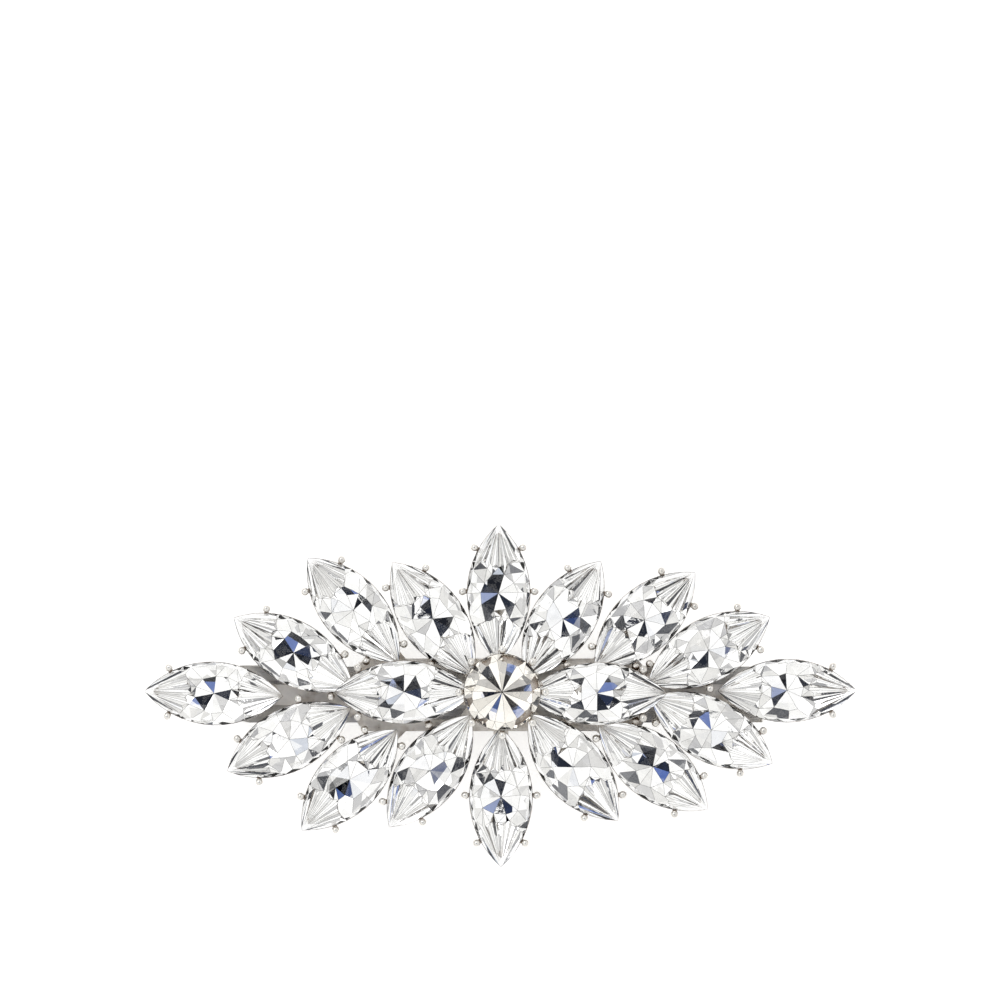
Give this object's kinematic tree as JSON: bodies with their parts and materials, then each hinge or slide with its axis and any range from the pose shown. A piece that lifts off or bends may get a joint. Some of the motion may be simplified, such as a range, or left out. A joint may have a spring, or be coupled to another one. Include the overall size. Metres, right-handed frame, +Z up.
{
  "type": "rhinestone hair clip",
  "caption": "Hair clip with a spray of claw-set navette crystals round a raised round crystal, on a spring-loaded alligator clip.",
  "frame": {"origin": "bottom centre of the whole clip, on the surface it rests on", "axes": "+X along the clip towards the jaws' mouth, +Y across it, +Z up towards the crystals"},
  "size_m": [0.0763, 0.0368, 0.0162],
  "materials": {
    "clear_crystal": "polished, foil backed",
    "champagne_crystal": "polished, foil backed",
    "silver_plate": "polished plate over cast alloy",
    "clip_steel": "plated stamped steel",
    "spring_steel": "drawn wire"
  },
  "bodies": {
    "root": {"base_frame": "silver_plate", "crystal_bottom": "clear_crystal", "crystal_centre": "champagne_crystal", "crystal_left_inner": "clear_crystal", "crystal_left_tip": "clear_crystal", "crystal_lower_left_inner": "clear_crystal", "crystal_lower_left_middle": "clear_crystal", "crystal_lower_left_outer": "clear_crystal", "crystal_lower_right_inner": "clear_crystal", "crystal_lower_right_middle": "clear_crystal", "crystal_lower_right_outer": "clear_crystal", "crystal_right_inner": "clear_crystal", "crystal_right_tip": "clear_crystal", "crystal_top": "clear_crystal", "crystal_upper_left_inner": "clear_crystal", "crystal_upper_left_middle": "clear_crystal", "crystal_upper_left_outer": "clear_crystal", "crystal_upper_right_inner": "clear_crystal", "crystal_upper_right_middle": "clear_crystal", "crystal_upper_right_outer": "clear_crystal", "hinge_pin": "clip_steel", "setting_bottom": "silver_plate", "setting_centre": "silver_plate", "setting_left_inner": "silver_plate", "setting_left_tip": "silver_plate", "setting_lower_left_inner": "silver_plate", "setting_lower_left_middle": "silver_plate", "setting_lower_left_outer": "silver_plate", "setting_lower_right_inner": "silver_plate", "setting_lower_right_middle": "silver_plate", "setting_lower_right_outer": "silver_plate", "setting_right_inner": "silver_plate", "setting_right_tip": "silver_plate", "setting_top": "silver_plate", "setting_upper_left_inner": "silver_plate", "setting_upper_left_middle": "silver_plate", "setting_upper_left_outer": "silver_plate", "setting_upper_right_inner": "silver_plate", "setting_upper_right_middle": "silver_plate", "setting_upper_right_outer": "silver_plate", "torsion_spring": "spring_steel", "upper_jaw": "clip_steel"},
    "lower_jaw": {"lower_jaw": "clip_steel"}
  },
  "joints": [
    {"name": "jaw_hinge", "type": "hinge", "parent": "root", "child": "lower_jaw", "pos_m": [-0.014, 0, 0.0049], "axis": [0, 1, 0], "range_deg": [0, 24], "stiffness_Nm_per_rad": 0.16, "springref_deg": -34.38, "deforming": ["torsion_spring"]}
  ]
}
